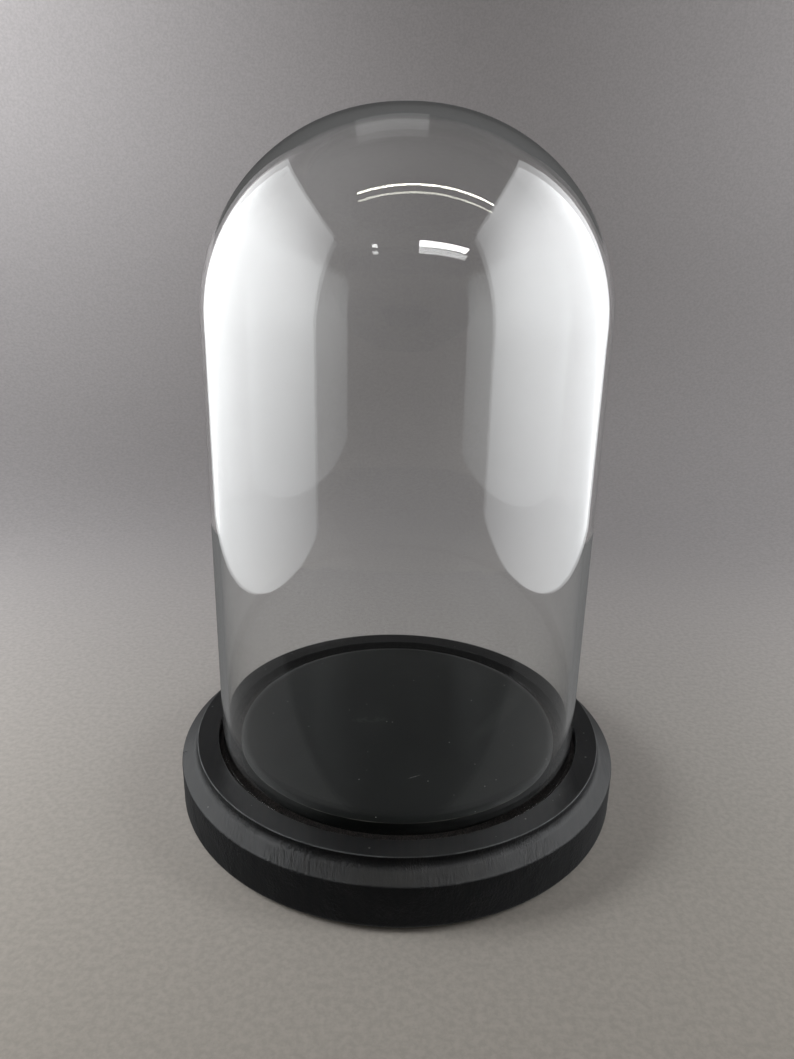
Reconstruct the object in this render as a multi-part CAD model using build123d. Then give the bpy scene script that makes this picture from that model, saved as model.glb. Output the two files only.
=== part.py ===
from build123d import *

import math
import os

# Bell jar dome: a clear glass dome that stands in the groove of a turned, black painted plinth.
# All lengths are millimetres. +Z is up, the origin is the middle of the footprint, on the
# surface that the felt feet stand on, and every piece is turned about the Z axis.

# ---- driving dimensions ---------------------------------------------------------------------

# glass dome
GLASS_DIAMETER = 120.0      # outside, along the straight wall
GLASS_HEIGHT = 198.0        # rim to crown, outside
GLASS_WALL = 2.2            # thickness of the straight wall
CROWN_THICKNESS = 3.0       # the blown crown is a little thicker than the wall
SHOULDER_RADIUS = 57.5      # outside radius of the shoulder arc, just under half the diameter
SHOULDER_SWEEP = 83.0       # degrees of shoulder before the flatter crown arc takes over
GROOVE_PLAY = 1.5           # radial play of the glass inside the groove's outer wall
SEAT_GAP = 0.1              # the rim rides on the nap of the felt, not in it

# plinth
RING_DIAMETER = 137.0       # outside of the raised ring
RING_TOP = 21.5             # height of the ring's flat top
RING_WALL = 1.1             # upright wall of the ring above the cove
RING_ARRIS = 0.25           # broken edge round the ring's top
SHELF_WIDTH = 5.3           # from the ring's wall out to the plain side
COVE_RADIUS = 3.0           # hollow between the ring's wall and the slope
SLOPE_FALL = 27.0           # degrees below level at which the slope runs out to the crest
CREST_ROUND = 0.8           # small round between the slope and the plain side
BOTTOM_ROUND = 2.0          # eased bottom edge
RECESS_DEPTH = 4.5          # recess that takes the display disc and the felt
RECESS_EDGE = 0.2           # broken edge at the mouth of the recess

# display disc, glued into the middle of the recess
DISC_DIAMETER = 108.2
DISC_PROUD = 1.1            # height of the disc's top above the ring
DISC_EASE_WIDTH = 2.8       # the rim of the disc falls away over this width
DISC_EASE_DROP = 0.7        # and by this much

# felt
FELT_THICKNESS = 1.0        # ring of felt in the groove
FELT_CLEARANCE = 0.25       # felt ring to the groove's walls
FOOT_DIAMETER = 14.0
FOOT_THICKNESS = 1.2
FOOT_CIRCLE = 112.0         # diameter of the circle that the feet's centres lie on
FOOT_COUNT = 4
FOOT_START_ANGLE = 45.0     # degrees from +X to the first foot

# ---- worked-out dimensions ------------------------------------------------------------------

GLASS_RADIUS = GLASS_DIAMETER / 2
RING_RADIUS = RING_DIAMETER / 2
PLINTH_RADIUS = RING_RADIUS + SHELF_WIDTH
DISC_RADIUS = DISC_DIAMETER / 2
RECESS_RADIUS = GLASS_RADIUS + GROOVE_PLAY
RECESS_FLOOR = RING_TOP - RECESS_DEPTH
DISC_TOP = RING_TOP + DISC_PROUD
RIM_HEIGHT = RECESS_FLOOR + FELT_THICKNESS + SEAT_GAP
CROWN_HEIGHT = RIM_HEIGHT + GLASS_HEIGHT


# ---- shared helpers -------------------------------------------------------------------------

def turned(outline):
    """Turn a closed outline, drawn as (radius, height), into a solid about the Z axis."""
    return revolve(Plane.XZ * make_face(outline), Axis.Z)


def arc_about(centre, radius, start, end):
    """An arc about centre from one angle to the other, in degrees from the radius axis."""
    return CenterArc(centre, radius, start, end - start)


def write(solid, name):
    """Write one piece to its own STEP file."""
    solid.label = name
    export_step(solid, os.path.join("parts", name + ".step"))


# ---- glass dome -----------------------------------------------------------------------------

def dome_surface(radius, shoulder, crown_height):
    """One skin of the dome: where its straight wall ends, and its shoulder and crown arcs.

    The shoulder arc leaves the straight wall at a tangent, and the flatter crown arc, whose
    centre is on the axis, carries on from it at a tangent and meets the axis square.
    """
    sweep = math.radians(SHOULDER_SWEEP)
    crown = shoulder + (radius - shoulder) / math.cos(sweep)
    spring = crown_height - shoulder * math.sin(sweep) - crown * (1 - math.sin(sweep))
    shoulder_arc = arc_about((radius - shoulder, spring), shoulder, 0, SHOULDER_SWEEP)
    crown_arc = arc_about((0, crown_height - crown), crown, SHOULDER_SWEEP, 90)
    return spring, shoulder_arc, crown_arc


def glass_dome():
    """One blown piece: a straight wall, a rounded shoulder, a flattened crown, a melted rim."""
    inner_radius = GLASS_RADIUS - GLASS_WALL
    inner_crown = CROWN_HEIGHT - CROWN_THICKNESS
    outer_spring, outer_shoulder, outer_crown = dome_surface(
        GLASS_RADIUS, SHOULDER_RADIUS, CROWN_HEIGHT
    )
    inner_spring, inner_shoulder, inner_crown_arc = dome_surface(
        inner_radius, SHOULDER_RADIUS - GLASS_WALL, inner_crown
    )
    rim_round = GLASS_WALL / 2
    rim_level = RIM_HEIGHT + rim_round
    outline = [
        Line((0, inner_crown), (0, CROWN_HEIGHT)),
        outer_crown,
        outer_shoulder,
        Line((GLASS_RADIUS, outer_spring), (GLASS_RADIUS, rim_level)),
        arc_about((GLASS_RADIUS - rim_round, rim_level), rim_round, 0, -180),
        Line((inner_radius, rim_level), (inner_radius, inner_spring)),
        inner_shoulder,
        inner_crown_arc,
    ]
    return turned(outline)


# ---- plinth ---------------------------------------------------------------------------------

def plinth():
    """The turned base: eased bottom edge, plain side, crest, slope, cove, raised ring, recess.

    The cove leaves the ring's wall at a tangent, the straight slope carries on from it at a
    tangent, and so does the small arc of the crest, which meets the plain side at a tangent.
    """
    bottom = FOOT_THICKNESS
    side_bottom = bottom + BOTTOM_ROUND
    cove_top = RING_TOP - RING_WALL
    fall = math.radians(SLOPE_FALL)
    crest_radius = PLINTH_RADIUS - CREST_ROUND
    slope_start = (
        RING_RADIUS + COVE_RADIUS * (1 - math.sin(fall)),
        cove_top - COVE_RADIUS * math.cos(fall),
    )
    slope_end_radius = crest_radius + CREST_ROUND * math.sin(fall)
    slope_end_height = slope_start[1] - (slope_end_radius - slope_start[0]) * math.tan(fall)
    side_top = slope_end_height - CREST_ROUND * math.cos(fall)
    outline = [
        Line((0, bottom), (PLINTH_RADIUS - BOTTOM_ROUND, bottom)),
        arc_about((PLINTH_RADIUS - BOTTOM_ROUND, side_bottom), BOTTOM_ROUND, -90, 0),
        Line((PLINTH_RADIUS, side_bottom), (PLINTH_RADIUS, side_top)),
        arc_about((crest_radius, side_top), CREST_ROUND, 0, 90 - SLOPE_FALL),
        Line((slope_end_radius, slope_end_height), slope_start),
        arc_about((RING_RADIUS + COVE_RADIUS, cove_top), COVE_RADIUS, -90 - SLOPE_FALL, -180),
        Line((RING_RADIUS, cove_top), (RING_RADIUS, RING_TOP - RING_ARRIS)),
        arc_about((RING_RADIUS - RING_ARRIS, RING_TOP - RING_ARRIS), RING_ARRIS, 0, 90),
        Line((RING_RADIUS - RING_ARRIS, RING_TOP), (RECESS_RADIUS + RECESS_EDGE, RING_TOP)),
        arc_about((RECESS_RADIUS + RECESS_EDGE, RING_TOP - RECESS_EDGE), RECESS_EDGE, 90, 180),
        Line((RECESS_RADIUS, RING_TOP - RECESS_EDGE), (RECESS_RADIUS, RECESS_FLOOR)),
        Line((RECESS_RADIUS, RECESS_FLOOR), (0, RECESS_FLOOR)),
        Line((0, RECESS_FLOOR), (0, bottom)),
    ]
    return turned(outline)


# ---- display disc ---------------------------------------------------------------------------

def display_disc():
    """The round display floor: flat on top, its rim easing down to a crisp edge."""
    flat = DISC_RADIUS - DISC_EASE_WIDTH
    edge = DISC_TOP - DISC_EASE_DROP
    ease_radius = (DISC_EASE_WIDTH**2 + DISC_EASE_DROP**2) / (2 * DISC_EASE_DROP)
    ease_sweep = math.degrees(math.asin(DISC_EASE_WIDTH / ease_radius))
    outline = [
        Line((0, RECESS_FLOOR), (DISC_RADIUS, RECESS_FLOOR)),
        Line((DISC_RADIUS, RECESS_FLOOR), (DISC_RADIUS, edge)),
        arc_about((flat, DISC_TOP - ease_radius), ease_radius, 90 - ease_sweep, 90),
        Line((flat, DISC_TOP), (0, DISC_TOP)),
        Line((0, DISC_TOP), (0, RECESS_FLOOR)),
    ]
    return turned(outline)


# ---- felt -----------------------------------------------------------------------------------

def groove_felt():
    """The flat felt ring on the groove's floor that the glass rim rests on."""
    outer = RECESS_RADIUS - FELT_CLEARANCE
    inner = DISC_RADIUS + FELT_CLEARANCE
    ring = Cylinder(outer, FELT_THICKNESS) - Cylinder(inner, FELT_THICKNESS)
    return Pos(0, 0, RECESS_FLOOR + FELT_THICKNESS / 2) * ring


def felt_foot(index):
    """One round felt foot under the plinth."""
    angle = FOOT_START_ANGLE + index * 360 / FOOT_COUNT
    place = Rot(0, 0, angle) * Pos(FOOT_CIRCLE / 2, 0, FOOT_THICKNESS / 2)
    return place * Cylinder(FOOT_DIAMETER / 2, FOOT_THICKNESS)


# ---- assembly -------------------------------------------------------------------------------

os.makedirs("parts", exist_ok=True)
write(glass_dome(), "glass_dome")
write(plinth(), "plinth")
write(display_disc(), "display_disc")
write(groove_felt(), "groove_felt")
for foot in range(FOOT_COUNT):
    write(felt_foot(foot), f"felt_foot_{foot + 1}")
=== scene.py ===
"""Bell jar dome: a clear glass dome on a turned, black painted plinth, in a plain studio.

All lengths are metres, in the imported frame: +Z is up and the origin is the middle of the
footprint, on the surface that the felt feet stand on.
"""

import logging
import math
import random
from dataclasses import asdict, dataclass, field, fields
from enum import Enum
from functools import cache
from typing import ClassVar

import bpy
from mathutils import Matrix, Vector


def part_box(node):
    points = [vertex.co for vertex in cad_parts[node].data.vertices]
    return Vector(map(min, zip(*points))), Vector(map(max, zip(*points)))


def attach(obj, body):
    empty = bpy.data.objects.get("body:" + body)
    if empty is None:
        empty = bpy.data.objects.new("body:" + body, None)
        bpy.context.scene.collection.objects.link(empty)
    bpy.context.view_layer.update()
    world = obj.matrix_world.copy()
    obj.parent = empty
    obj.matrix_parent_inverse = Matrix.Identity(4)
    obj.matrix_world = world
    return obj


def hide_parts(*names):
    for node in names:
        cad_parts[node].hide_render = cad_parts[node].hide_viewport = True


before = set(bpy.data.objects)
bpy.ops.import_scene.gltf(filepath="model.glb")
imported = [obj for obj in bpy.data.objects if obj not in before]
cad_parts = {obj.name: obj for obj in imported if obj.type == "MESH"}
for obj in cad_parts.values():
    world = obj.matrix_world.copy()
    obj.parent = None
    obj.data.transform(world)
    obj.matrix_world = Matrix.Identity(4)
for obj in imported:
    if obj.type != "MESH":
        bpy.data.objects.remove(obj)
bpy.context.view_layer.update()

LOG = logging.getLogger("bell_jar_dome")
MM = 0.001
MERGE_DISTANCE = 0.0005 * MM
TURN_STEPS = 256
WHITE = (1.0, 1.0, 1.0, 1.0)
Colour = tuple[float, float, float, float]
Range = tuple[float, float]
Triple = tuple[float, float, float]
Piece = bpy.types.Object
Outputs = bpy.types.NodeOutputs
Socket = bpy.types.NodeSocket
Signal = Socket | float


class Body(Enum):
    """The bodies that pieces ride on."""

    BASE = "base"
    DOME = "dome"


class Slot(Enum):
    """The material slots."""

    GLASS = "clear_glass"
    PAINT = "satin_black_paint"
    LACQUER = "smooth_black_lacquer"
    GROOVE_FELT = "black_felt"
    FOOT_FELT = "foot_felt"


def deselect_all() -> None:
    """Leaves no object selected, so that the next operator acts on its own piece only."""
    if bpy.context.object is not None and bpy.context.object.mode != "OBJECT":
        bpy.ops.object.mode_set(mode="OBJECT")
    bpy.ops.object.select_all(action="DESELECT")


# ---- node wiring ----------------------------------------------------------------------------


class Wiring:
    """A node tree that is being wired up."""

    def __init__(self, tree: bpy.types.NodeTree) -> None:
        """Keeps the tree to wire."""
        self.tree = tree

    def put(self, kind: str, values: dict | None = None, **settings: object) -> bpy.types.Node:
        """Adds one node.

        Args:
            kind: The node's type.
            values: What each input holds, or the output that feeds it, by name or number.
            **settings: The node's own choices.

        Returns:
            The new node.
        """
        node = self.tree.nodes.new(kind)
        for name, choice in settings.items():
            setattr(node, name, choice)
        self.fill(node, values or {})
        return node

    def fill(self, node: bpy.types.Node, values: dict) -> None:
        """Gives a node's inputs, by name or number, their values or the outputs that feed them."""
        for socket, value in values.items():
            target = node.inputs[socket]
            if isinstance(value, Socket):
                self.tree.links.new(value, target)
            else:
                target.default_value = value

    def show(self, surface: Socket) -> None:
        """Makes a shader the surface of the material."""
        self.put("ShaderNodeOutputMaterial", {"Surface": surface})

    def math(self, operation: str, *operands: Signal) -> Socket:
        """The result of one Math node on these operands."""
        return self.put("ShaderNodeMath", dict(enumerate(operands)), operation=operation).outputs[0]

    def times(self, first: Signal, second: Signal) -> Socket:
        """One value multiplied by another."""
        return self.math("MULTIPLY", first, second)

    def weighed(self, first: Signal, share: float, second: Signal) -> Socket:
        """A share of the first value plus the rest of the second."""
        return self.math("ADD", self.times(first, share), self.times(second, 1.0 - share))

    def left_over(self, taken: Signal, share: Signal) -> Socket:
        """What is left of 1 when a share of the taken value has gone."""
        return self.math("SUBTRACT", 1.0, self.times(taken, share))

    def fade(self, value: Signal, low: float, high: float, start: float = 0.0,
             end: float = 1.0) -> Socket:
        """Goes smoothly from start to end as value goes from low to high."""
        values = {"Value": value, "From Min": low, "From Max": high, "To Min": start, "To Max": end}
        return self.put("ShaderNodeMapRange", values, interpolation_type="SMOOTHSTEP").outputs[0]

    def mix(self, factor: Signal, first: Socket | Colour, second: Socket | Colour) -> Socket:
        """A colour between first and second."""
        values = {0: factor, 6: first, 7: second}
        return self.put("ShaderNodeMix", values, data_type="RGBA").outputs[2]

    def place(self) -> Socket:
        """The Object coordinates, which are the frame's own metres."""
        return self.put("ShaderNodeTexCoord").outputs["Object"]

    def axes(self, vector: Socket) -> Outputs:
        """The X, Y and Z of a vector."""
        return self.put("ShaderNodeSeparateXYZ", {0: vector}).outputs

    def normal(self) -> Outputs:
        """The X, Y and Z of the surface's own normal."""
        return self.axes(self.put("ShaderNodeNewGeometry").outputs["Normal"])

    def vector_math(self, operation: str, values: dict) -> Socket:
        """The vector that one Vector Math node gives."""
        return self.put("ShaderNodeVectorMath", values, operation=operation).outputs[0]

    def scaled(self, vector: Socket, factor: Signal) -> Socket:
        """A vector scaled evenly."""
        return self.vector_math("SCALE", {0: vector, "Scale": factor})

    def stretched(self, place: Socket, scale: Triple) -> Socket:
        """Coordinates scaled by a different amount along each axis."""
        return self.put("ShaderNodeMapping", {"Vector": place, "Scale": scale}).outputs[0]

    def noise(self, place: Socket, scale: Signal, detail: float = 2.0,
              roughness: float = 0.5) -> Socket:
        """The value of a noise texture."""
        values = {"Vector": place, "Scale": scale, "Detail": detail, "Roughness": roughness}
        return self.put("ShaderNodeTexNoise", values).outputs[0]

    def bump(self, height: Socket, distance: float, strength: float = 1.0) -> Socket:
        """A surface normal from a height."""
        values = {"Height": height, "Distance": distance, "Strength": strength}
        return self.put("ShaderNodeBump", values).outputs[0]


def blank_material(name: str) -> tuple[bpy.types.Material, Wiring]:
    """A new material with an empty node tree, and the wiring that fills the tree."""
    material = bpy.data.materials.new(name)
    material.use_nodes = True
    material.node_tree.nodes.clear()
    return material, Wiring(material.node_tree)


@dataclass(frozen=True)
class Effect:
    """A surface effect kept as a shader node group, built once and placed in many materials.

    An effect's fields are the group's inputs.
    """

    name: ClassVar[str]
    outputs: ClassVar[tuple[str, ...]] = ("mask",)

    def draw(self, wiring: Wiring, given: Outputs) -> dict[str, Socket]:
        """Wires the group's inside.

        Args:
            wiring: The group's own tree.
            given: The group's inputs.

        Returns:
            The socket for each named output.
        """
        raise NotImplementedError(self.name)

    def tree(self) -> bpy.types.NodeTree:
        """The group's node tree, made the first time that it is asked for."""
        found = bpy.data.node_groups.get(self.name)
        if found is not None:
            return found
        tree = bpy.data.node_groups.new(self.name, "ShaderNodeTree")
        for entry in fields(self):
            tree.interface.new_socket(entry.name, in_out="INPUT", socket_type="NodeSocketFloat")
        for output in self.outputs:
            tree.interface.new_socket(output, in_out="OUTPUT", socket_type="NodeSocketFloat")
        wiring = Wiring(tree)
        given = wiring.put("NodeGroupInput").outputs
        wiring.put("NodeGroupOutput", self.draw(wiring, given))
        return tree

    def place_in(self, wiring: Wiring) -> Outputs:
        """Places the effect in a material, with this effect's values, and gives its outputs."""
        return wiring.put("ShaderNodeGroup", asdict(self), node_tree=self.tree()).outputs


@dataclass(frozen=True)
class EdgeWearAndGlint(Effect):
    """A lighter line along a turned edge, at one radius and height: rubbed paint plus a painted
    highlight for the edge's glint.
    """

    name: ClassVar[str] = "edge_wear_and_glint"
    solid_share: ClassVar[float] = 0.45
    patches_per_metre: ClassVar[float] = 140.0
    patch_range: ClassVar[Range] = (0.38, 0.62)
    radius: float
    height: float
    width: float
    breakup: float

    def draw(self, wiring: Wiring, given: Outputs) -> dict[str, Socket]:
        """A thin ring round the edge, broken up by noise; see Effect.draw."""
        place = wiring.place()
        axes = wiring.axes(place)
        flat = wiring.put("ShaderNodeCombineXYZ", {"X": axes["X"], "Y": axes["Y"]}).outputs[0]
        radius = wiring.put("ShaderNodeVectorMath", {0: flat}, operation="LENGTH").outputs["Value"]
        across = wiring.math("SUBTRACT", radius, given["radius"])
        above = wiring.math("SUBTRACT", axes["Z"], given["height"])
        squares = wiring.math("ADD", wiring.math("POWER", across, 2.0),
                              wiring.math("POWER", above, 2.0))
        away = wiring.math("DIVIDE", wiring.math("SQRT", squares), given["width"])
        line = wiring.fade(away, 1.0, self.solid_share, 0.0, 1.0)
        patches = wiring.fade(wiring.noise(place, self.patches_per_metre, 3.0), *self.patch_range)
        return {"mask": wiring.times(line, wiring.left_over(patches, given["breakup"]))}


@dataclass(frozen=True)
class Dust(Effect):
    """Specks of dust that lie on what faces up."""

    name: ClassVar[str] = "settled_dust"
    outputs: ClassVar[tuple[str, ...]] = ("specks", "haze")
    smallest_speck: ClassVar[float] = 0.25
    upward_range: ClassVar[Range] = (0.6, 0.95)
    haze_per_metre: ClassVar[float] = 42.0
    haze_range: ClassVar[Range] = (0.42, 0.75)
    cells_per_metre: float
    speck: float
    share: float

    def draw(self, wiring: Wiring, given: Outputs) -> dict[str, Socket]:
        """Some of the cells of a pattern hold a round speck each; see Effect.draw."""
        place = wiring.place()
        cells = wiring.put("ShaderNodeTexVoronoi", {
            "Vector": place, "Scale": given["cells_per_metre"]}).outputs
        lot = wiring.put("ShaderNodeSeparateColor", {0: cells["Color"]}).outputs
        chosen = wiring.math("LESS_THAN", lot[0], given["share"])
        size = wiring.times(given["speck"], wiring.math("ADD", lot[1], self.smallest_speck))
        speck = wiring.math("LESS_THAN", cells["Distance"], size)
        facing = wiring.fade(wiring.normal()["Z"], *self.upward_range)
        haze = wiring.fade(wiring.noise(place, self.haze_per_metre, 6.0, 0.62), *self.haze_range)
        return {"specks": wiring.times(wiring.times(chosen, speck), facing),
                "haze": wiring.times(haze, facing)}


@dataclass(frozen=True)
class WoodGrain(Effect):
    """Grain that runs along Y and still shows through paint, most of all on end grain."""

    name: ClassVar[str] = "wood_grain"
    outputs: ClassVar[tuple[str, ...]] = ("height", "tone")
    fibres_per_metre: ClassVar[Triple] = (1400.0, 60.0, 900.0)
    streaks_per_metre: ClassVar[Triple] = (420.0, 16.0, 260.0)
    ring_stretch: ClassVar[Triple] = (1.0, 0.08, 2.2)
    rings_per_metre: ClassVar[float] = 95.0
    fibre_share: ClassVar[float] = 0.7
    end_range: ClassVar[Range] = (0.15, 0.62)
    patches_per_metre: ClassVar[float] = 70.0
    patch_range: ClassVar[Range] = (0.35, 0.62)
    faintest_patch: ClassVar[float] = 0.25
    fineness: float = 1.0
    side_share: float = 0.12

    def draw(self, wiring: Wiring, given: Outputs) -> dict[str, Socket]:
        """Long fibres and growth rings, both in the solid; see Effect.draw."""
        place = wiring.place()
        fine = wiring.scaled(place, given["fineness"])
        fibres = wiring.noise(wiring.stretched(fine, self.fibres_per_metre), 1.0, 3.0, 0.6)
        streaks = wiring.noise(wiring.stretched(fine, self.streaks_per_metre), 1.0, 2.0)
        rings = wiring.put("ShaderNodeTexWave", {
            "Vector": wiring.stretched(fine, self.ring_stretch), "Scale": self.rings_per_metre,
            "Distortion": 5.0, "Detail": 2.0, "Detail Scale": 0.6}, bands_direction="X").outputs[1]
        height = wiring.weighed(fibres, self.fibre_share, streaks)
        along = wiring.math("ABSOLUTE", wiring.normal()["Y"])
        uneven = wiring.fade(wiring.noise(place, self.patches_per_metre), *self.patch_range,
                             self.faintest_patch, 1.0)
        end = wiring.times(wiring.fade(along, *self.end_range), uneven)
        share = wiring.math("MAXIMUM", end, given["side_share"])
        return {"height": wiring.times(height, share), "tone": wiring.times(rings, streaks)}


@dataclass(frozen=True)
class Rub(Effect):
    """One rubbed or scratched mark, lying across the surface at a place and an angle."""

    name: ClassVar[str] = "rub_mark"
    solid_share: ClassVar[float] = 0.15
    broken_range: ClassVar[Range] = (0.4, 0.6)
    middle_x: float
    middle_y: float
    angle: float
    half_length: float
    half_width: float
    breakup: float
    grain: float = 400.0

    def draw(self, wiring: Wiring, given: Outputs) -> dict[str, Socket]:
        """A soft-ended ellipse, broken up by noise; see Effect.draw."""
        place = wiring.place()
        middle = wiring.put("ShaderNodeCombineXYZ", {
            "X": given["middle_x"], "Y": given["middle_y"]}).outputs[0]
        from_middle = wiring.vector_math("SUBTRACT", {0: place, 1: middle})
        turned = wiring.put("ShaderNodeVectorRotate", {
            "Vector": from_middle, "Angle": given["angle"]}, rotation_type="Z_AXIS").outputs[0]
        axes = wiring.axes(turned)
        along = wiring.math("POWER", wiring.math("DIVIDE", axes["X"], given["half_length"]), 2.0)
        across = wiring.math("POWER", wiring.math("DIVIDE", axes["Y"], given["half_width"]), 2.0)
        inside = wiring.fade(wiring.math("ADD", along, across), 1.0, self.solid_share, 0.0, 1.0)
        broken = wiring.fade(wiring.noise(place, given["grain"], 4.0, 0.6), *self.broken_range)
        return {"mask": wiring.times(inside, wiring.left_over(broken, given["breakup"]))}


@dataclass(frozen=True)
class FeltPile(Effect):
    """The matted fibres of felt."""

    name: ClassVar[str] = "felt_pile"
    outputs: ClassVar[tuple[str, ...]] = ("height", "tone")
    bends_per_metre: ClassVar[float] = 900.0
    bend_reach: ClassVar[float] = 1.2 * MM
    hairs_per_metre: ClassVar[Triple] = (2600.0, 900.0, 2600.0)
    tufts_per_metre: ClassVar[float] = 700.0
    hair_share: ClassVar[float] = 0.6
    tone_range: ClassVar[Range] = (0.42, 0.7)
    fineness: float

    def draw(self, wiring: Wiring, given: Outputs) -> dict[str, Socket]:
        """Bent streaks of two sizes over soft tufts; see Effect.draw."""
        place = wiring.scaled(wiring.place(), given["fineness"])
        bend = wiring.put("ShaderNodeTexNoise", {
            "Vector": place, "Scale": self.bends_per_metre}).outputs["Color"]
        bent = wiring.vector_math("MULTIPLY_ADD", {0: bend, 1: (self.bend_reach,) * 3, 2: place})
        hairs = wiring.noise(wiring.stretched(bent, self.hairs_per_metre), 1.0, 3.0, 0.65)
        tufts = wiring.noise(bent, self.tufts_per_metre)
        return {"height": wiring.weighed(hairs, self.hair_share, tufts),
                "tone": wiring.fade(hairs, *self.tone_range)}


@dataclass(frozen=True)
class BrushedSkin(Effect):
    """The slight unevenness of a dried coat of paint: an orange peel and larger patches."""

    name: ClassVar[str] = "paint_skin"
    outputs: ClassVar[tuple[str, ...]] = ("height", "patch")
    patches_per_metre: ClassVar[float] = 38.0
    patch_range: ClassVar[Range] = (0.35, 0.7)
    peel_per_metre: float

    def draw(self, wiring: Wiring, given: Outputs) -> dict[str, Socket]:
        """Fine noise for the peel and coarse noise for the patches; see Effect.draw."""
        place = wiring.place()
        patches = wiring.noise(place, self.patches_per_metre, 4.0, 0.55)
        return {"height": wiring.noise(place, given["peel_per_metre"]),
                "patch": wiring.fade(patches, *self.patch_range)}


# ---- finishes -------------------------------------------------------------------------------


@dataclass(frozen=True)
class Finish:
    """A finish that can be made into a material."""

    slot: Slot

    def wire(self, wiring: Wiring) -> Socket:
        """Wires the shader and returns its output."""
        raise NotImplementedError(self.slot.value)

    @cache
    def material(self) -> bpy.types.Material:
        """Makes the material, named after its slot; pieces with the same finish share it."""
        material, wiring = blank_material(self.slot.value)
        wiring.show(self.wire(wiring))
        return material


@dataclass(frozen=True)
class ClearGlass(Finish):
    """Clear blown glass, with the faint unevenness of its making and a little dust."""

    slot: Slot = Slot.GLASS
    tint: Colour = (0.985, 0.992, 0.988, 1.0)
    shade: Colour = (0.93, 0.94, 0.935, 1.0)
    index: float = 1.5
    ripple: float = 0.012 * MM
    ripples_per_metre: Triple = (34.0, 34.0, 15.0)
    dust: Dust = Dust(cells_per_metre=260.0, speck=0.07, share=0.05)
    dust_roughness: float = 0.35

    def wire(self, wiring: Wiring) -> Socket:
        """Refracting glass that lets lamplight through; see Finish.wire."""
        slow = wiring.noise(wiring.stretched(wiring.place(), self.ripples_per_metre), 1.0, 1.0, 0.3)
        specks = self.dust.place_in(wiring)["specks"]
        glass = wiring.put("ShaderNodeBsdfPrincipled", {
            "Base Color": self.tint, "Roughness": wiring.times(specks, self.dust_roughness),
            "IOR": self.index, "Transmission Weight": 1.0,
            "Normal": wiring.bump(slow, self.ripple)})
        clear = wiring.put("ShaderNodeBsdfTransparent", {"Color": self.shade})
        path = wiring.put("ShaderNodeLightPath").outputs
        passes = wiring.math("MAXIMUM", path["Is Shadow Ray"], path["Is Diffuse Ray"])
        return wiring.put("ShaderNodeMixShader", {
            0: passes, 1: glass.outputs[0], 2: clear.outputs[0]}).outputs[0]


@dataclass(frozen=True)
class SatinPaint(Finish):
    """Satin black spray paint over turned wood."""

    slot: Slot = Slot.PAINT
    colour: Colour = (0.0012, 0.0014, 0.0018, 1.0)
    thin_colour: Colour = (0.0050, 0.0046, 0.0044, 1.0)
    # Colour of the lighter arris lines: rubbed paint plus a painted highlight for the arris's glint.
    wear_and_glint_colour: Colour = (0.075, 0.078, 0.080, 1.0)
    dust_colour: Colour = (0.11, 0.11, 0.105, 1.0)
    sheen_level: float = 0.40
    patch_sheen: float = 0.07
    grain_sheen: float = 0.10
    specular_level: float = 0.32
    haze_share: float = 0.03
    grain_depth: float = 0.55 * MM
    dent_depth: float = 0.40 * MM
    peel_depth: float = 0.006 * MM
    grain: WoodGrain = WoodGrain()
    skin: BrushedSkin = BrushedSkin(peel_per_metre=800.0)
    dust: Dust = Dust(cells_per_metre=420.0, speck=0.14, share=0.10)
    dent: Rub = Rub(-71.9 * MM, -15.2 * MM, math.radians(-12.0), 1.3 * MM, 1.0 * MM, 0.2)
    edges: tuple[EdgeWearAndGlint, ...] = ()

    def wire(self, wiring: Wiring) -> Socket:
        """Near-black paint with grain under it, dust, and lighter arris lines that are rubbed paint
        plus a painted highlight; see Finish.wire.
        """
        grain, skin, dust, dent = (
            effect.place_in(wiring) for effect in (self.grain, self.skin, self.dust, self.dent))
        colour = wiring.mix(grain["tone"], self.colour, self.thin_colour)
        haze = wiring.times(dust["haze"], self.haze_share)
        colour = wiring.mix(wiring.math("MAXIMUM", dust["specks"], haze), colour, self.dust_colour)
        # Lighter lines along the arrises: partly rubbed paint, partly a painted highlight standing in
        # for their glint.
        wear_and_glint = 0.0
        for edge in self.edges:
            wear_and_glint = wiring.math("MAXIMUM", wear_and_glint, edge.place_in(wiring)["mask"])
        colour = wiring.mix(wear_and_glint, colour, self.wear_and_glint_colour)
        rough = wiring.math("ADD", self.sheen_level, wiring.times(skin["patch"], self.patch_sheen))
        rough = wiring.math("ADD", rough, wiring.times(grain["height"], self.grain_sheen))
        peel = wiring.times(skin["height"], self.peel_depth / self.grain_depth)
        sunk = wiring.times(dent["mask"], self.dent_depth / self.grain_depth)
        height = wiring.math("SUBTRACT", wiring.math("ADD", grain["height"], peel), sunk)
        return wiring.put("ShaderNodeBsdfPrincipled", {
            "Base Color": colour, "Roughness": rough, "IOR": 1.45,
            "Specular IOR Level": self.specular_level,
            "Normal": wiring.bump(height, self.grain_depth)}).outputs[0]


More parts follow.
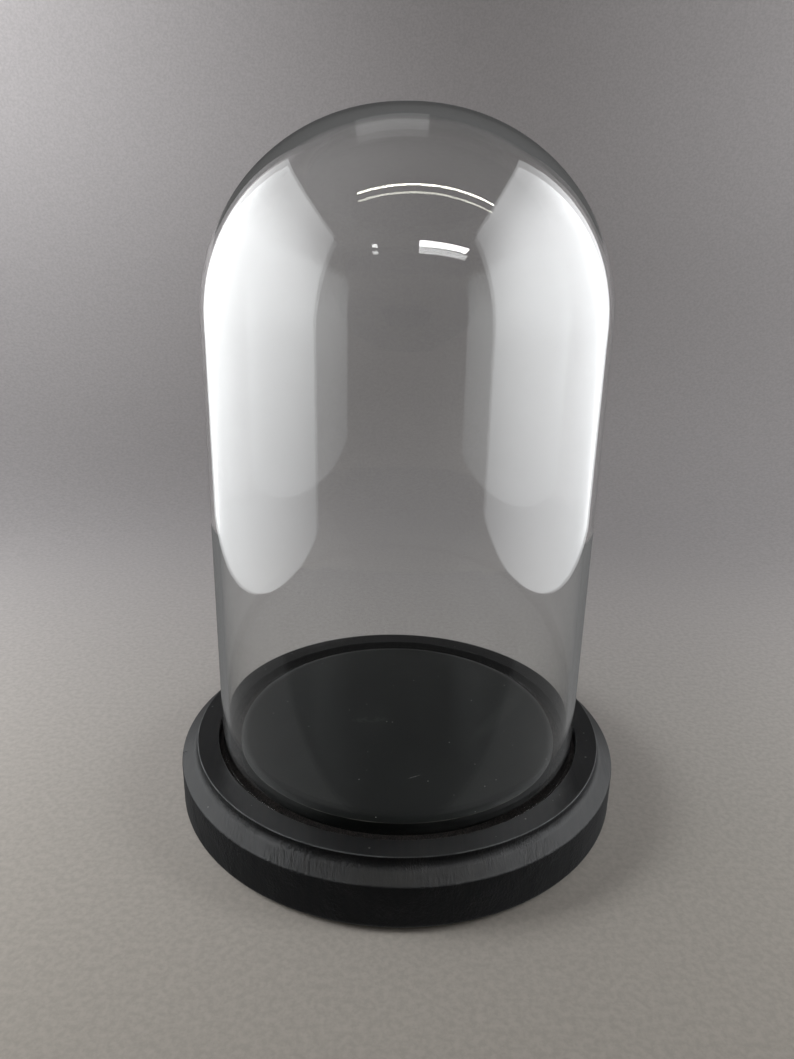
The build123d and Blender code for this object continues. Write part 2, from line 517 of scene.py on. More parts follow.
@dataclass(frozen=True)
class SmoothLacquer(Finish):
    """Smooth satin black lacquer, faintly green, with fine dust, a smudge and scratches."""

    slot: Slot = Slot.LACQUER
    colour: Colour = (0.0012, 0.0024, 0.0020, 1.0)
    rubbed_colour: Colour = (0.045, 0.049, 0.047, 1.0)
    dust_colour: Colour = (0.26, 0.26, 0.25, 1.0)
    # Colour of the lighter rim line: rubbed lacquer plus a painted highlight for the rim's glint.
    wear_and_glint_colour: Colour = (0.085, 0.080, 0.072, 1.0)
    sheen_level: float = 0.36
    haze_sheen: float = 0.05
    rubbed_sheen: float = 0.2
    specular_level: float = 0.36
    patch_share: float = 0.10
    smudge_share: float = 0.8
    wipe_share: float = 0.22
    peel_depth: float = 0.003 * MM
    skin: BrushedSkin = BrushedSkin(peel_per_metre=700.0)
    dust: Dust = Dust(cells_per_metre=520.0, speck=0.10, share=0.14)
    smudge: Rub = Rub(-9.7 * MM, -0.9 * MM, math.radians(-6.0), 7.5 * MM, 2.2 * MM, 1.0, 900.0)
    scratch: Rub = Rub(5.6 * MM, -32.9 * MM, math.radians(-28.0), 2.8 * MM, 0.2 * MM, 0.7, 2200.0)
    wipe: Rub = Rub(37.0 * MM, 5.0 * MM, math.radians(-56.0), 27.0 * MM, 3.5 * MM, 0.4, 60.0)
    # Lighter line at the rim's edge: rubbed lacquer plus a painted highlight for its glint.
    edge: EdgeWearAndGlint = EdgeWearAndGlint(54.0 * MM, 21.9 * MM, 0.2 * MM, 0.5)

    def wire(self, wiring: Wiring) -> Socket:
        """Near-black lacquer with its own marks; see Finish.wire."""
        skin, dust = self.skin.place_in(wiring), self.dust.place_in(wiring)
        smudge, scratch, wipe, edge = (
            mark.place_in(wiring)["mask"] for mark in (self.smudge, self.scratch, self.wipe, self.edge))
        rubbed = wiring.math("MAXIMUM", wiring.times(smudge, self.smudge_share),
                             wiring.times(wipe, self.wipe_share))
        patches = wiring.times(skin["patch"], self.patch_share)
        colour = wiring.mix(patches, self.colour, self.rubbed_colour)
        colour = wiring.mix(rubbed, colour, self.rubbed_colour)
        specks = wiring.math("MAXIMUM", dust["specks"], scratch)
        colour = wiring.mix(specks, colour, self.dust_colour)
        # Lighter rim line: partly rubbed lacquer, partly a painted highlight.
        colour = wiring.mix(edge, colour, self.wear_and_glint_colour)
        rough = wiring.math("ADD", self.sheen_level, wiring.times(dust["haze"], self.haze_sheen))
        rough = wiring.math("ADD", rough, wiring.times(rubbed, self.rubbed_sheen))
        return wiring.put("ShaderNodeBsdfPrincipled", {
            "Base Color": colour, "Roughness": rough, "IOR": 1.5,
            "Specular IOR Level": self.specular_level,
            "Normal": wiring.bump(skin["height"], self.peel_depth)}).outputs[0]


@dataclass(frozen=True)
class Felt(Finish):
    """Black felt, with a few browner hairs."""

    slot: Slot = Slot.GROOVE_FELT
    colour: Colour = (0.0035, 0.0033, 0.0033, 1.0)
    hair_colour: Colour = (0.062, 0.048, 0.045, 1.0)
    matt: float = 0.95
    shiniest: float = 0.8
    fineness: float = 1.0
    depth: float = 0.12 * MM

    def wire(self, wiring: Wiring) -> Socket:
        """Matt fibres with a soft sheen; see Finish.wire."""
        pile = FeltPile(self.fineness).place_in(wiring)
        return wiring.put("ShaderNodeBsdfPrincipled", {
            "Base Color": wiring.mix(pile["tone"], self.colour, self.hair_colour),
            "Roughness": wiring.fade(pile["height"], 0.0, 1.0, self.matt, self.shiniest),
            "Specular IOR Level": 0.2, "Sheen Weight": 0.15, "Sheen Roughness": 0.5,
            "Normal": wiring.bump(pile["height"], self.depth)}).outputs[0]


# ---- drawing and turning --------------------------------------------------------------------


@dataclass
class Pen:
    """Draws edges in a new mesh, stroke by stroke.

    Attributes:
        name: Name of the mesh that is being drawn.
        place: Where the last stroke ended.
    """

    name: str
    place: Vector = field(default_factory=Vector)

    def put_down(self, place: Vector) -> None:
        """Starts the mesh: a tiny plane, merged to one vertex and moved into place."""
        deselect_all()
        bpy.ops.mesh.primitive_plane_add(size=MM)
        bpy.context.object.name = self.name
        bpy.context.object.data.name = self.name
        bpy.ops.object.mode_set(mode="EDIT")
        bpy.context.tool_settings.mesh_select_mode = (True, False, False)
        bpy.ops.mesh.select_all(action="SELECT")
        bpy.ops.mesh.merge(type="CENTER")
        bpy.ops.transform.translate(value=place)
        self.place = place

    def stroke(self, place: Vector) -> None:
        """Draws an edge from the last point to a new one."""
        bpy.ops.mesh.extrude_region_move(TRANSFORM_OT_translate={"value": place - self.place})
        self.place = place

    def lift_to(self, place: Vector) -> None:
        """Starts a new line somewhere else in the same mesh."""
        bpy.ops.mesh.duplicate_move(TRANSFORM_OT_translate={"value": place - self.place})
        self.place = place


@dataclass
class Lathe(Pen):
    """A half-section drawn in the XZ plane, then turned about the Z axis.

    Attributes:
        hold: How far from each end of a straight stroke an extra point keeps the end crisp.
    """

    hold: float = 0.15 * MM

    def start(self, radius: float, height: float) -> "Lathe":
        """Puts down the first point of the half-section and returns the lathe itself."""
        self.put_down(Vector((radius, 0.0, height)))
        return self

    def line(self, radius: float, height: float) -> None:
        """Draws a straight stroke, with a holding point near each end where there is room.

        Args:
            radius: Where it ends, from the axis.
            height: Where it ends, above the floor.
        """
        begin, end = self.place.copy(), Vector((radius, 0.0, height))
        run = end - begin
        if run.length > 4 * self.hold:
            self.stroke(begin + run * (self.hold / run.length))
            self.stroke(end - run * (self.hold / run.length))
        self.stroke(end)

    def arc(self, centre: tuple[float, float], sweep: float, steps: int) -> None:
        """Draws an arc on from the last point.

        Args:
            centre: The arc's centre, as (radius, height).
            sweep: Its sweep in degrees, anticlockwise in the half-section.
            steps: How many straight steps it has.
        """
        angle = math.radians(sweep)
        middle = Vector((centre[0], 0.0, centre[1]))
        bpy.ops.mesh.spin(steps=steps, angle=abs(angle), center=middle,
                          axis=(0.0, math.copysign(1.0, angle), 0.0))
        spoke = self.place - middle
        self.place = middle + Matrix.Rotation(-angle, 3, "Y") @ spoke

    def turn(self, steps: int = TURN_STEPS, crisp: float = 40.0) -> Piece:
        """Turns the half-section into a closed piece and shades it.

        Args:
            steps: How many steps go once round.
            crisp: Angle in degrees past which an edge is shaded sharp.

        Returns:
            The finished object.
        """
        bpy.ops.mesh.select_all(action="SELECT")
        bpy.ops.mesh.spin(steps=steps, angle=math.tau, center=(0.0, 0.0, 0.0), axis=(0.0, 0.0, 1.0))
        bpy.ops.mesh.select_all(action="SELECT")
        bpy.ops.mesh.remove_doubles(threshold=MERGE_DISTANCE)
        bpy.ops.mesh.normals_make_consistent(inside=False)
        bpy.ops.object.mode_set(mode="OBJECT")
        bpy.ops.object.shade_smooth_by_angle(angle=math.radians(crisp))
        return bpy.context.object


def dress(piece: Piece, material: bpy.types.Material) -> None:
    """Gives a piece its one material."""
    piece.data.materials.clear()
    piece.data.materials.append(material)


def fit_in(piece: Piece, body: Body, finish: Finish, *nodes: str) -> None:
    """Gives a finished piece its material, its body and the nodes that it stands for.

    Args:
        piece: The finished piece.
        body: The body that it rides on.
        finish: Its finish.
        *nodes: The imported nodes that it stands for.
    """
    dress(piece, finish.material())
    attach(piece, body.value)
    if nodes:
        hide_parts(*nodes)
    LOG.info("%s: %d faces, rides on %s", piece.name, len(piece.data.polygons), body.value)


# ---- glass dome -----------------------------------------------------------------------------


@dataclass
class GlassDome:
    """The blown dome: a straight wall, a rounded shoulder, a flatter crown, a melted rim."""

    wall: float = 2.2 * MM
    crown_thickness: float = 3.0 * MM
    shoulder_radius: float = 57.5 * MM
    shoulder_sweep: float = 83.0
    finish: ClearGlass = ClearGlass()
    shoulder_steps: int = 42
    crown_steps: int = 6
    rim_steps: int = 14
    wall_steps: int = 12
    hold: float = 1.0 * MM

    def skin(self, radius: float, shoulder: float, top: float) -> tuple[float, float]:
        """Works out one skin of the dome.

        Args:
            radius: Its radius along the straight wall.
            shoulder: Radius of its shoulder arc.
            top: Height of its top.

        Returns:
            The height where the shoulder begins, and the radius of the crown arc.
        """
        sweep = math.radians(self.shoulder_sweep)
        crown = shoulder + (radius - shoulder) / math.cos(sweep)
        return top - shoulder * math.sin(sweep) - crown * (1 - math.sin(sweep)), crown

    def build(self) -> Piece:
        """Draws both skins in one stroke, from crown to rim and back, and turns them."""
        low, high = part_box("glass_dome")
        outer, inner = high.x, high.x - self.wall
        rim_round = self.wall / 2
        rim_level = low.z + rim_round
        spring, crown = self.skin(outer, self.shoulder_radius, high.z)
        inner_shoulder = self.shoulder_radius - self.wall
        inner_top = high.z - self.crown_thickness
        inner_spring, inner_crown = self.skin(inner, inner_shoulder, inner_top)
        rest = 90.0 - self.shoulder_sweep
        lathe = Lathe("dome_glass", hold=self.hold).start(0.0, high.z)
        lathe.arc((0.0, high.z - crown), -rest, self.crown_steps)
        lathe.arc((outer - self.shoulder_radius, spring), -self.shoulder_sweep, self.shoulder_steps)
        self.draw_wall(lathe, outer, spring, rim_level)
        lathe.arc((outer - rim_round, rim_level), -180.0, self.rim_steps)
        self.draw_wall(lathe, inner, rim_level, inner_spring)
        lathe.arc((inner - inner_shoulder, inner_spring), self.shoulder_sweep, self.shoulder_steps)
        lathe.arc((0.0, inner_top - inner_crown), rest, self.crown_steps)
        piece = lathe.turn(crisp=80.0)
        fit_in(piece, Body.DOME, self.finish, "glass_dome")
        return piece

    def draw_wall(self, lathe: Lathe, radius: float, start: float, end: float) -> None:
        """Draws the straight wall in even steps.

        Args:
            lathe: The lathe, whose last point is at the wall's start.
            radius: The wall's radius.
            start: Height where it starts.
            end: Height where it ends.
        """
        for step in range(1, self.wall_steps + 1):
            lathe.line(radius, start + (end - start) * step / self.wall_steps)


# ---- base -----------------------------------------------------------------------------------


@dataclass
class Plinth:
    """The turned and painted base: plain side, crest, slope, cove, raised ring and recess."""

    bottom_round: float = 2.0 * MM
    ring_radius: float = 68.5 * MM
    ring_wall: float = 1.1 * MM
    ring_arris: float = 0.25 * MM
    cove_radius: float = 3.0 * MM
    slope_fall: float = 27.0
    crest_round: float = 0.8 * MM
    recess_radius: float = 61.5 * MM
    recess_edge: float = 0.2 * MM
    wear_and_glint_width: float = 0.28 * MM
    bottom_steps: int = 10
    crest_steps: int = 8
    cove_steps: int = 14
    edge_steps: int = 5

    def build(self) -> Piece:
        """Draws the half-section from the underside's middle round to the recess's middle."""
        low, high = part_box("plinth")
        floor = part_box("display_disc")[0].z
        side, bottom, top = high.x, low.z, high.z
        fall, turned = math.radians(self.slope_fall), 90.0 - self.slope_fall
        cove_top = top - self.ring_wall
        slope_start = self.ring_radius + self.cove_radius * (1 - math.sin(fall))
        slope_end = side - self.crest_round * (1 - math.sin(fall))
        slope_top = cove_top - self.cove_radius * math.cos(fall)
        slope_bottom = slope_top - (slope_end - slope_start) * math.tan(fall)
        side_top = slope_bottom - self.crest_round * math.cos(fall)
        mouth = self.recess_radius + self.recess_edge
        lathe = Lathe("painted_plinth").start(0.0, bottom)
        lathe.line(side - self.bottom_round, bottom)
        lathe.arc((side - self.bottom_round, bottom + self.bottom_round), 90.0,
                  self.bottom_steps)
        lathe.line(side, side_top)
        lathe.arc((side - self.crest_round, side_top), turned, self.crest_steps)
        lathe.line(slope_start, slope_top)
        lathe.arc((self.ring_radius + self.cove_radius, cove_top), -turned, self.cove_steps)
        lathe.line(self.ring_radius, top - self.ring_arris)
        lathe.arc((self.ring_radius - self.ring_arris, top - self.ring_arris), 90.0, self.edge_steps)
        lathe.line(mouth, top)
        lathe.arc((mouth, top - self.recess_edge), 90.0, self.edge_steps)
        lathe.line(self.recess_radius, floor)
        lathe.line(0.0, floor)
        piece = lathe.turn()
        # The ring's arris and the recess's mouth get lighter lines: rubbed paint plus a painted
        # highlight for their glint.
        inset = self.ring_arris / 3
        ring_wear_and_glint = EdgeWearAndGlint(self.ring_radius - inset, top - inset, self.wear_and_glint_width, 0.6)
        mouth_wear_and_glint = EdgeWearAndGlint(self.recess_radius, top, 0.5 * self.wear_and_glint_width, 1.0)
        fit_in(piece, Body.BASE, SatinPaint(edges=(ring_wear_and_glint, mouth_wear_and_glint)), "plinth")
        return piece


@dataclass
class DisplayDisc:
    """The lacquered floor of the dome: flat, its rim easing down to a crisp edge."""

    ease_width: float = 2.8 * MM
    ease_drop: float = 0.7 * MM
    ease_steps: int = 12
    wear_and_glint_width: float = 0.16 * MM

    def build(self) -> Piece:
        """Draws the half-section from the underside to the middle of the top."""
        low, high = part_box("display_disc")
        radius, bottom, top = high.x, low.z, high.z
        edge = top - self.ease_drop
        ease = (self.ease_width**2 + self.ease_drop**2) / (2 * self.ease_drop)
        sweep = math.degrees(math.asin(self.ease_width / ease))
        lathe = Lathe("display_floor").start(0.0, bottom)
        lathe.line(radius, bottom)
        lathe.line(radius, edge)
        lathe.arc((radius - self.ease_width, top - ease), sweep, self.ease_steps)
        lathe.line(0.0, top)
        piece = lathe.turn()
        # Lighter line round the rim: rubbed lacquer plus a painted highlight for its glint.
        finish = SmoothLacquer(edge=EdgeWearAndGlint(radius, edge, self.wear_and_glint_width, 0.7))
        fit_in(piece, Body.BASE, finish, "display_disc")
        return piece


@dataclass
class GrooveFelt:
    """The ring of felt that the glass rim rests on, with its standing fibres."""

    clearance: float = 0.25 * MM
    glass_gap: float = 0.15 * MM
    round_edge: float = 0.3 * MM
    edge_steps: int = 4
    fibre_thickness: float = 0.04 * MM
    fibre_step: float = 0.50 * MM
    fibre_strokes: int = 6
    fibre_top: float = 2.6 * MM
    rise_range: Range = (0.1, 1.0)
    step_range: Range = (0.6, 1.2)
    swing_range: Range = (0.2, 1.0)
    drift_range: Range = (-0.8, 0.8)
    climb_range: Range = (0.2, 1.1)
    fibres_per_sector: int = 64
    sectors: int = 60
    seed: int = 7
    turn_steps: int = 240
    finish: Felt = Felt()

    def build(self) -> Piece:
        """Turns the ring and draws the fibres that stand out of it."""
        low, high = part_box("groove_felt")
        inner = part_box("display_disc")[1].x + self.clearance
        outer, top, bottom = high.x, high.z, low.z
        lathe = Lathe("felt_ring").start(inner, bottom)
        lathe.line(outer, bottom)
        lathe.line(outer, top - self.round_edge)
        lathe.arc((outer - self.round_edge, top - self.round_edge), 90.0, self.edge_steps)
        lathe.line(inner + self.round_edge, top)
        lathe.arc((inner + self.round_edge, top - self.round_edge), 90.0, self.edge_steps)
        lathe.line(inner, bottom)
        ring = lathe.turn(self.turn_steps)
        fit_in(ring, Body.BASE, self.finish, "groove_felt")
        fit_in(self.fibres(inner, outer, top), Body.BASE, self.finish)
        return ring

    def fibres(self, inner: float, outer: float, top: float) -> Piece:
        """Draws one sector's fibres, repeats them round the ring and gives them thickness.

        Args:
            inner: Inner radius of the ring.
            outer: Outer radius of the ring.
            top: Height of the ring's top.

        Returns:
            The fibres, as one mesh.
        """
        draw = random.Random(self.seed)
        glass_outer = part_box("glass_dome")[1].x
        glass_inner = glass_outer - GlassDome.wall
        bands = ((inner, glass_inner - self.glass_gap), (glass_outer + self.glass_gap, outer))
        sector = math.tau / self.sectors
        pen = Pen("felt_fibres")
        for number in range(self.fibres_per_sector):
            band = bands[number % len(bands)]
            points = self.strand(draw, band, draw.uniform(0.0, sector), top)
            if number == 0:
                pen.put_down(points[0])
            else:
                pen.lift_to(points[0])
            for point in points[1:]:
                pen.stroke(point)
        bpy.ops.mesh.select_all(action="SELECT")
        bpy.ops.mesh.spin(steps=self.sectors - 1, angle=math.tau - sector, dupli=True,
                          center=(0.0, 0.0, 0.0), axis=(0.0, 0.0, 1.0))
        bpy.ops.object.mode_set(mode="OBJECT")
        bpy.ops.object.convert(target="CURVE")
        strands = bpy.context.object.data
        strands.dimensions = "3D"
        strands.bevel_depth = self.fibre_thickness
        strands.bevel_resolution = 0
        bpy.ops.object.convert(target="MESH")
        bpy.ops.object.shade_smooth_by_angle(angle=math.radians(60.0))
        return bpy.context.object

    def strand(self, draw: random.Random, band: Range, angle: float, top: float) -> list[Vector]:
        """Works out one curly fibre that rises from the felt between two radii.

        Args:
            draw: Where the random numbers come from.
            band: The smallest and the largest radius that it may reach.
            angle: Where it grows, round the ring.
            top: Height of the ring's top.

        Returns:
            Its points, from the root up.
        """
        radius, height = draw.uniform(*band), top - self.round_edge / 2
        rise = draw.uniform(*self.rise_range)
        turn = draw.choice((-1.0, 1.0))
        points = []
        for _ in range(self.fibre_strokes + 1):
            points.append(Vector((radius * math.cos(angle), radius * math.sin(angle), height)))
            step = self.fibre_step * draw.uniform(*self.step_range)
            angle += turn * step * draw.uniform(*self.swing_range) / radius
            radius += step * draw.uniform(*self.drift_range)
            radius = min(max(radius, band[0]), band[1])
            height += step * rise * draw.uniform(*self.climb_range)
            height = min(height, top + self.fibre_top)
        return points


@dataclass
class FeltFeet:
    """The four round felt feet under the plinth."""

    nodes: tuple[str, ...] = ("felt_foot_1", "felt_foot_2", "felt_foot_3", "felt_foot_4")
    edge_round: float = 0.35 * MM
    edge_segments: int = 3
    rim_vertices: int = 64
    flat_face: float = 0.5
    finish: Felt = Felt(slot=Slot.FOOT_FELT, colour=(0.010, 0.010, 0.0105, 1.0),
                        hair_colour=(0.045, 0.043, 0.042, 1.0), fineness=0.8, depth=0.08 * MM)

    def build(self) -> list[Piece]:
        """Models one foot, then gives each place its own copy."""
        first = self.model()
        home = self.middle(self.nodes[0])
        feet = [first] + [self.copy_to(first, self.middle(node) - home) for node in self.nodes[1:]]
        for number, (foot, node) in enumerate(zip(feet, self.nodes), start=1):
            foot.name = foot.data.name = f"foot_pad_{number}"
            fit_in(foot, Body.BASE, self.finish, node)
        return feet

    def middle(self, node: str) -> Vector:
        """The middle of a foot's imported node."""
        low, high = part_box(node)
        return (low + high) / 2

    def model(self) -> Piece:
        """Models the first foot: a disc with soft edges."""
        low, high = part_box(self.nodes[0])
        middle, radius, thickness = (low + high) / 2, (high.x - low.x) / 2, high.z - low.z
        deselect_all()
        bpy.ops.mesh.primitive_cylinder_add(vertices=self.rim_vertices, radius=radius, depth=thickness)
        foot = bpy.context.object
        bpy.ops.object.mode_set(mode="EDIT")
        bpy.ops.mesh.select_all(action="SELECT")
        bpy.ops.transform.translate(value=middle)
        bpy.context.tool_settings.mesh_select_mode = (False, False, True)
        bpy.ops.mesh.select_all(action="DESELECT")
        bpy.ops.object.mode_set(mode="OBJECT")
        for face in foot.data.polygons:
            face.select = abs(face.normal.z) > self.flat_face
        bpy.ops.object.mode_set(mode="EDIT")
        bpy.ops.mesh.bevel(offset=self.edge_round, segments=self.edge_segments, profile=0.5)
        bpy.ops.object.mode_set(mode="OBJECT")
        bpy.ops.object.shade_smooth_by_angle(angle=math.radians(40.0))
        return foot

    def copy_to(self, foot: Piece, step: Vector) -> Piece:
        """Copies a foot, with its own mesh, and moves the copy's mesh by step."""
        deselect_all()
        foot.select_set(True)
        bpy.context.view_layer.objects.active = foot
        bpy.ops.object.duplicate()
        bpy.ops.object.mode_set(mode="EDIT")
        bpy.ops.mesh.select_all(action="SELECT")
        bpy.ops.transform.translate(value=step)
        bpy.ops.object.mode_set(mode="OBJECT")
        return bpy.context.object


# ---- studio ---------------------------------------------------------------------------------


@dataclass
class PaperSweep:
    """The pale paper that the part stands on, curving up all round into a plain backdrop."""

    flat_radius: float = 0.28
    curve_radius: float = 0.34
    wall_height: float = 0.95
    front_colour: Colour = (0.475, 0.445, 0.400, 1.0)
    back_colour: Colour = (0.460, 0.445, 0.452, 1.0)
    colour_range: Range = (-0.20, 0.30)
    flecks_per_metre: float = 520.0
    fleck_range: Range = (0.32, 0.68)
    fleck_shade: float = 0.86
    tooth_depth: float = 0.05 * MM
    curve_steps: int = 32
    turn_steps: int = 192

    def build(self) -> Piece:
        """Turns the sweep and gives it a paper finish."""
        lathe = Lathe("paper_sweep", hold=0.004).start(0.0, 0.0)
        lathe.line(self.flat_radius, 0.0)
        lathe.arc((self.flat_radius, self.curve_radius), 90.0, self.curve_steps)
        lathe.line(self.flat_radius + self.curve_radius, self.wall_height)
        sweep = lathe.turn(self.turn_steps, crisp=80.0)
        dress(sweep, self.material())
        return sweep

    def material(self) -> bpy.types.Material:
        """Matt paper with a fine tooth, a little warmer in front than at the back."""
        material, wiring = blank_material("pale_paper")
        place = wiring.place()
        depth = wiring.axes(place)["Y"]
        tooth = wiring.noise(place, self.flecks_per_metre, 5.0, 0.65)
        plain = wiring.mix(wiring.fade(depth, *self.colour_range), self.front_colour, self.back_colour)
        shade = wiring.fade(tooth, *self.fleck_range, 1.0, self.fleck_shade)
        shader = wiring.put("ShaderNodeBsdfPrincipled", {
            "Base Color": wiring.scaled(plain, shade), "Roughness": 0.9, "Specular IOR Level": 0.1,
            "Normal": wiring.bump(tooth, self.tooth_depth, 0.5)})
        wiring.show(shader.outputs[0])
        return material


@dataclass
class GlowCard:
    """A flat glowing card that is seen only by mirror images, as a softbox or a ceiling tube is.

    Attributes:
        name: Its name.
        middle: Its middle.
        size: Its width along its own X and Y.
        turn: Its turn about X, Y and Z, in degrees; unturned, it faces up.
        level: How bright it is, with white paper in full light at 1.
        tint: Its colour.
    """

    name: str
    middle: Triple
    size: tuple[float, float]
    turn: Triple
    level: float
    tint: Colour = WHITE

    def build(self) -> Piece:
        """Adds the card, shapes it and hides it from all but mirror images."""
        deselect_all()
        turn = tuple(math.radians(angle) for angle in self.turn)
        bpy.ops.mesh.primitive_plane_add(size=1.0, location=self.middle, rotation=turn)
        card = bpy.context.object
        card.name = card.data.name = self.name
        card.scale = (*self.size, 1.0)
        dress(card, self.material())
        card.visible_camera = False
        card.visible_diffuse = False
        card.visible_shadow = False
        return card

    def material(self) -> bpy.types.Material:
        """A glow on the front, for rays that have been mirrored at least once."""
        material, wiring = blank_material(self.name)
        path = wiring.put("ShaderNodeLightPath").outputs
        mirrored = wiring.math("GREATER_THAN", path["Glossy Depth"], 0.5)
        back = wiring.put("ShaderNodeNewGeometry").outputs["Backfacing"]
        shown = wiring.times(mirrored, wiring.math("SUBTRACT", 1.0, back))
        clear = wiring.put("ShaderNodeBsdfTransparent").outputs[0]
        strength = wiring.times(self.evenness(wiring), self.level)
        glow = wiring.put("ShaderNodeEmission", {"Color": self.tint, "Strength": strength}).outputs[0]
        wiring.show(wiring.put("ShaderNodeMixShader", {0: shown, 1: clear, 2: glow}).outputs[0])
        material.cycles.emission_sampling = "NONE"
        return material

    def evenness(self, wiring: Wiring) -> Signal:
        """The share of its brightness that each part of the card has; a plain card's is even."""
        return 1.0


@dataclass
class SoftBox(GlowCard):
    """A tall glowing card at one side, brightest in its middle and dimmer towards its edges.

    Attributes:
        near_share: Share of its brightness at the edge that is nearest to the camera.
        far_share: Share of its brightness at the other upright edge.
        low_share: Share of its brightness at the bottom.
        high_share: Share of its brightness at the top.
        far_wall_share: Share of its brightness in images that the glass's far wall makes.
        passes_to_far_wall: Passes through a skin of glass that only a ray to the far wall has made.
    """

    near_share: float = 0.34
    far_share: float = 0.58
    low_share: float = 0.40
    high_share: float = 0.50
    far_wall_share: float = 0.46
    passes_to_far_wall: float = 3.5

    def evenness(self, wiring: Wiring) -> Socket:
        """Fades towards all four edges and in images from the glass's far wall."""
        axes = wiring.axes(wiring.place())
        height = wiring.times(axes["X"], -math.copysign(1.0, self.turn[1]))
        shares = (
            wiring.fade(axes["Y"], -0.70, -0.10, self.near_share, 1.0),
            wiring.fade(axes["Y"], -0.10, 0.35, 1.0, self.far_share),
            wiring.fade(height, -0.60, 0.0, self.low_share, 1.0),
            wiring.fade(height, 0.10, 0.45, 1.0, self.high_share),
        )
        passes = wiring.put("ShaderNodeLightPath").outputs["Transmission Depth"]
        far_wall = wiring.math("GREATER_THAN", passes, self.passes_to_far_wall)
        share = wiring.math("MULTIPLY_ADD", far_wall, self.far_wall_share - 1.0, 1.0)
        for edge_share in shares:
            share = wiring.times(share, edge_share)
        return share


@dataclass
class WashLamp:
    """A large soft lamp that lights surfaces but leaves no mirror image.

    Attributes:
        name: Its name.
        place: Where it is.
        aim: The point that it faces.
        size: Its width and height.
        power: Its power in watts.
        spread: How wide it shines, in degrees.
        tint: Its colour.
    """

    name: str
    place: Triple
    aim: Triple
    size: tuple[float, float]
    power: float
    spread: float = 180.0
    tint: Triple = (1.0, 1.0, 1.0)

    def build(self) -> Piece:
        """Adds the lamp, aims it and hides it from mirror images."""
        deselect_all()
        facing = (Vector(self.aim) - Vector(self.place)).to_track_quat("-Z", "Y")
        bpy.ops.object.light_add(type="AREA", location=self.place, rotation=facing.to_euler())
        lamp = bpy.context.object
        lamp.name = lamp.data.name = self.name
        lamp.data.shape = "RECTANGLE"
        lamp.data.size, lamp.data.size_y = self.size
        lamp.data.energy = self.power
        lamp.data.spread = math.radians(self.spread)
        lamp.data.color = self.tint
        lamp.visible_camera = False
        lamp.visible_glossy = False
        lamp.visible_transmission = False
        return lamp


@dataclass
class Viewpoint:
    """The camera: close in front, a little above the dome's shoulder, looking down on it."""

    distance: float = 0.2518
    height: float = 0.1808
    pitch_down: float = 19.32
    roll: float = 1.19
    yaw: float = -0.36
    focal_length: float = 28.05
    sensor: float = 36.0

    def build(self) -> Piece:
        """Adds the camera and makes it the scene's own."""
        deselect_all()
        bpy.ops.object.camera_add()
        camera = bpy.context.object
        pitch, yaw = math.radians(self.pitch_down), math.radians(self.yaw)
        level_ahead = Vector((math.sin(yaw), math.cos(yaw), 0.0))
        ahead = level_ahead * math.cos(pitch) - Vector((0.0, 0.0, math.sin(pitch)))
        right = ahead.cross(Vector((0.0, 0.0, 1.0))).normalized()
        level = Matrix((right, right.cross(ahead), -ahead)).transposed()
        rolled = level @ Matrix.Rotation(math.radians(self.roll), 3, "Z")
        place = Matrix.Translation((0.0, -self.distance, self.height))
        camera.matrix_world = place @ rolled.to_4x4()
        camera.data.lens = self.focal_length
        camera.data.sensor_width = self.sensor
        camera.data.sensor_fit = "AUTO"
        camera.data.clip_start = 0.01
        bpy.context.scene.camera = camera
        return camera


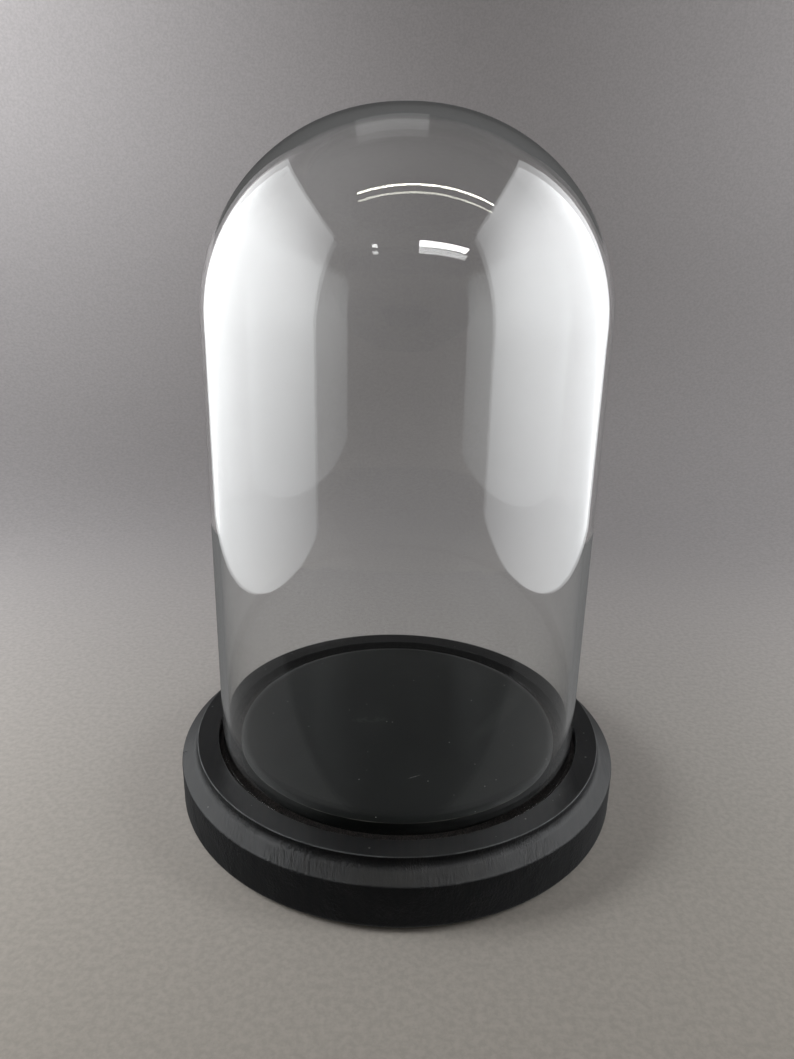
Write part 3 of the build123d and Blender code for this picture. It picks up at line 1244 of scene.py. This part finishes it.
@dataclass
class Studio:
    """The plain studio round the part: paper, soft lamps, their mirror images and a camera."""

    ambient: float = 0.05
    cards: tuple[GlowCard, ...] = (
        SoftBox("left_softbox", (-0.240, -0.015, 0.2275), (0.455, 0.470), (0.0, 90.0, 0.0), 5.4,
                tint=(0.97, 0.99, 1.0, 1.0)),
        SoftBox("right_softbox", (0.250, -0.035, 0.260), (0.520, 0.480), (0.0, -90.0, 0.0), 5.7,
                tint=(0.97, 0.985, 1.0, 1.0)),
        GlowCard("ceiling_tube", (0.080, -0.136, 0.590), (0.500, 0.0095), (180.0, 0.0, 3.4), 34.0,
                 tint=(1.0, 0.98, 0.86, 1.0)),
        GlowCard("ceiling_panel", (-0.050, 0.310, 0.650), (0.190, 0.230), (180.0, 0.0, 0.0), 0.35),
        GlowCard("ceiling_bar", (0.190, -0.472, 0.590), (0.270, 0.050), (180.0, 0.0, 0.0), 30.0),
        GlowCard("ceiling_spot", (-0.175, -0.484, 0.590), (0.030, 0.030), (180.0, 0.0, 0.0), 18.0),
        # The next four cards glow dimly and are seen only in reflections: painted dark reflections of
        # the room in front, the room above the backdrop, and a floor darker than the lit paper, darkest
        # in front.
        GlowCard("painted_front_room_reflection", (0.0, -0.510, 0.350), (0.700, 0.500), (-90.0, 0.0, 0.0), 0.04),
        GlowCard("painted_back_room_reflection", (0.0, 0.500, 0.560), (0.720, 0.620), (90.0, 0.0, 0.0), 0.11),
        GlowCard("painted_floor_reflection", (0.0, 0.0, 0.0006), (1.100, 1.100), (0.0, 0.0, 0.0), 0.17),
        GlowCard("painted_front_floor_reflection", (0.0, -0.290, 0.0010), (0.400, 0.400), (0.0, 0.0, 0.0), 0.08),
    )
    lamps: tuple[WashLamp, ...] = (
        WashLamp("back_wash_left", (-0.35, 0.0, 0.60), (-0.42, 0.45, 0.40), (0.20, 0.20), 1.02, 80.0),
        WashLamp("back_wash_right", (0.45, 0.0, 0.55), (0.45, 0.45, 0.35), (0.20, 0.20), 0.62, 90.0),
        WashLamp("left_wash", (-0.52, 0.05, 0.42), (0.1, 0.35, 0.1), (0.30, 0.40), 0.58),
        WashLamp("left_floor_wash", (-0.50, -0.10, 0.35), (-0.35, 0.0, 0.0), (0.25, 0.25), 1.10, 100.0),
        WashLamp("right_floor_wash", (0.50, -0.10, 0.35), (0.38, 0.0, 0.0), (0.25, 0.25), 0.77, 100.0),
        WashLamp("front_floor_wash", (0.0, -0.50, 0.50), (0.0, -0.30, 0.0), (0.40, 0.20), 0.08, 90.0),
    )

    def build(self) -> None:
        """Sets up the world, the paper, the lights and the camera."""
        scene = bpy.context.scene
        scene.view_settings.view_transform = "Standard"
        world = bpy.data.worlds.new("dim_room")
        world.use_nodes = True
        world.node_tree.nodes.clear()
        wiring = Wiring(world.node_tree)
        glow = wiring.put("ShaderNodeBackground", {"Color": WHITE, "Strength": self.ambient})
        wiring.put("ShaderNodeOutputWorld", {"Surface": glow.outputs[0]})
        scene.world = world
        Viewpoint().build()
        PaperSweep().build()
        for light in (*self.cards, *self.lamps):
            light.build()
        LOG.info("studio: %d cards, %d lamps", len(self.cards), len(self.lamps))


# ---- all together ---------------------------------------------------------------------------


def main() -> None:
    """Builds the studio and every piece."""
    logging.basicConfig(level=logging.INFO, format="%(name)s: %(message)s")
    Studio().build()
    GlassDome().build()
    Plinth().build()
    DisplayDisc().build()
    GrooveFelt().build()
    FeltFeet().build()
    deselect_all()


if __name__ == "__main__":
    main()
